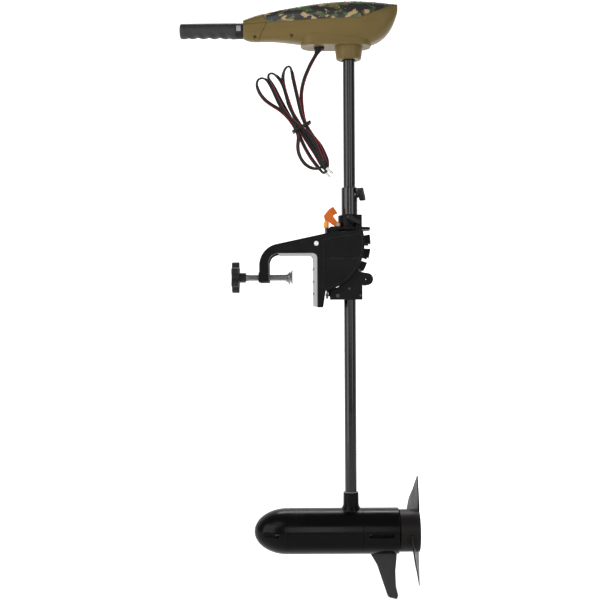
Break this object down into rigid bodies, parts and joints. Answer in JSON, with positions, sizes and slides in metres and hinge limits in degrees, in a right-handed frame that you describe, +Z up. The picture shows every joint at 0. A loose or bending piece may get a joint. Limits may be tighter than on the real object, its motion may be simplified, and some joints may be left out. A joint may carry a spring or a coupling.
{
  "type": "trolling motor",
  "caption": "Electric trolling motor on a transom clamp, with tilt bracket, steering tiller, control head, long shaft and submerged motor with a propeller.",
  "frame": {"origin": "centre of the transom clamp's seat face, midway between the two clamp screws and on their height", "axes": "+X aft, away from the boat; +Y to starboard; +Z up"},
  "size_m": [0.5, 0.1526, 1.2556],
  "materials": {
    "satin_black": "satin black coated casting",
    "quadrant": "satin black",
    "pad": "light grey soft pad",
    "steel": "stainless steel",
    "screw_steel": "plated steel",
    "foot": "pressed steel",
    "knob": "black plastic",
    "carrier": "black glass-filled plastic",
    "bushing": "natural acetal",
    "lever": "orange plastic",
    "ferrule": "yellow-orange plastic",
    "rod": "steel rod",
    "pawl": "black steel",
    "shaft": "black composite shaft",
    "motor": "gloss black paint",
    "skeg": "dark grey plastic",
    "propeller": "black plastic",
    "rubber": "black rubber",
    "magnet": "ceramic magnet",
    "armature": "lamination and copper winding",
    "brush": "carbon",
    "cable": "black vinyl",
    "tie": "black tie",
    "terminal": "tinned copper",
    "khaki": "khaki plastic",
    "camo": "camouflage print",
    "tiller": "black tube",
    "dial": "black dial",
    "grip": "soft grip"
  },
  "bodies": {
    "transom_clamp": {"clamp_frame": "satin_black", "tilt_quadrants": "quadrant", "transom_pad": "pad", "tilt_pivot_bolt": "steel", "tilt_pivot_nut": "steel"},
    "near_foot": {"near_clamp_foot": "foot"},
    "far_foot": {"far_clamp_foot": "foot"},
    "near_screw": {"near_clamp_screw": "screw_steel", "near_clamp_knob": "knob"},
    "far_screw": {"far_clamp_screw": "screw_steel", "far_clamp_knob": "knob"},
    "tilt_bracket": {"tilt_carrier": "carrier", "steering_bushings": "bushing", "steering_ring": "carrier", "carrier_screws": "steel", "lever_pin": "steel", "pawl_pin": "steel"},
    "lever": {"release_lever": "lever"},
    "pull_rod": {"release_rod": "rod", "rod_ferrule": "ferrule"},
    "pawl": {"lock_pawl": "pawl"},
    "tension_plunger": {"tension_shoe": "bushing"},
    "tension_screw": {"tension_knob": "knob"},
    "steering_collar": {"depth_collar": "carrier"},
    "depth_plunger": {"depth_shoe": "bushing"},
    "depth_screw": {"depth_knob": "knob"},
    "drive_leg": {"shaft_tube": "shaft", "motor_cable": "cable", "motor_housing": "motor", "nose_cone": "motor", "rear_bell": "motor", "end_o_rings": "rubber", "through_bolts": "steel", "armature_bearings": "steel", "shaft_seal": "rubber", "field_magnets": "magnet", "brush_plate": "bushing", "carbon_brushes": "brush", "skeg": "skeg", "head_base": "khaki", "head_cover": "camo", "nose_upper": "khaki", "nose_lower": "khaki", "head_screws": "steel", "shaft_retainer": "bushing", "speed_switch": "bushing", "cable_grommet": "rubber", "power_lead": "cable", "lead_hank": "cable", "hank_tie": "tie", "battery_terminals": "terminal"},
    "rotor": {"armature": "armature", "rotor_shaft": "steel", "propeller": "propeller", "drive_pin": "steel", "prop_nut": "steel"},
    "tiller": {"tiller_tube": "tiller", "dial_collar": "dial"},
    "grip": {"tiller_grip": "grip", "twist_rod": "steel"}
  },
  "joints": [
    {"name": "near_clamp_slide", "type": "slide", "parent": "transom_clamp", "child": "near_foot", "axis": [1, 0, 0], "range_m": [-0.04, 0.024]},
    {"name": "near_clamp_turn", "type": "hinge", "parent": "near_foot", "child": "near_screw", "pos_m": [-0.1, -0.048, 0], "axis": [-1, 0, 0], "range_deg": [-4801, 2881]},
    {"name": "far_clamp_slide", "type": "slide", "parent": "transom_clamp", "child": "far_foot", "axis": [1, 0, 0], "range_m": [-0.034, 0.03]},
    {"name": "far_clamp_turn", "type": "hinge", "parent": "far_foot", "child": "far_screw", "pos_m": [-0.1, 0.048, 0], "axis": [-1, 0, 0], "range_deg": [-4081, 3601]},
    {"name": "tilt", "type": "hinge", "parent": "transom_clamp", "child": "tilt_bracket", "pos_m": [0.006, 0, 0.069], "axis": [0, -1, 0], "range_deg": [0, 60]},
    {"name": "lever_swing", "type": "hinge", "parent": "tilt_bracket", "child": "lever", "pos_m": [0.0515, -0.02, 0.1092], "axis": [0, -1, 0], "range_deg": [0, 14.1]},
    {"name": "rod_slide", "type": "slide", "parent": "tilt_bracket", "child": "pull_rod", "axis": [0, 0, 1], "range_m": [-0.0069, 0]},
    {"name": "pawl_swing", "type": "hinge", "parent": "tilt_bracket", "child": "pawl", "pos_m": [0.05, 0, -0.0385], "axis": [0, -1, 0], "range_deg": [0, 18]},
    {"name": "tension_slide", "type": "slide", "parent": "tilt_bracket", "child": "tension_plunger", "axis": [0.1736, -0.9848, 0], "range_m": [0, 0.0025]},
    {"name": "tension_turn", "type": "hinge", "parent": "tension_plunger", "child": "tension_screw", "pos_m": [0.077, 0, 0.1186], "axis": [0.1736, -0.9848, 0], "range_deg": [0, 721]},
    {"name": "steering", "type": "hinge", "parent": "tilt_bracket", "child": "steering_collar", "pos_m": [0.077, 0, 0.16], "axis": [0, 0, 1], "range_deg": [-180, 180]},
    {"name": "depth_slide", "type": "slide", "parent": "steering_collar", "child": "depth_plunger", "axis": [0.866, -0.5, 0], "range_m": [0, 0.0025]},
    {"name": "depth_turn", "type": "hinge", "parent": "depth_plunger", "child": "depth_screw", "pos_m": [0.077, 0, 0.1735], "axis": [0.866, -0.5, 0], "range_deg": [0, 721]},
    {"name": "depth_adjust", "type": "slide", "parent": "steering_collar", "child": "drive_leg", "axis": [0, 0, 1], "range_m": [-0.05, 0.25]},
    {"name": "propeller_spin", "type": "hinge", "parent": "drive_leg", "child": "rotor", "pos_m": [0.1, 0, -0.5326], "axis": [1, 0, 0], "continuous": true},
    {"name": "tiller_slide", "type": "slide", "parent": "drive_leg", "child": "tiller", "axis": [-1, 0, 0], "range_m": [0, 0.09]},
    {"name": "throttle_twist", "type": "hinge", "parent": "tiller", "child": "grip", "pos_m": [-0.2, 0, 0.519], "axis": [-1, 0, 0], "range_deg": [-60, 60]}
  ],
  "couplings": [
    {"joint": "near_clamp_turn", "follows": "near_clamp_slide", "rad_per_m": 2094.4},
    {"joint": "far_clamp_turn", "follows": "far_clamp_slide", "rad_per_m": 2094.4},
    {"joint": "lever_swing", "follows": "rod_slide", "rad_per_m": -35.41},
    {"joint": "pawl_swing", "follows": "rod_slide", "rad_per_m": -45},
    {"joint": "tension_turn", "follows": "tension_slide", "rad_per_m": 5026.5},
    {"joint": "depth_turn", "follows": "depth_slide", "rad_per_m": 5026.5}
  ]
}
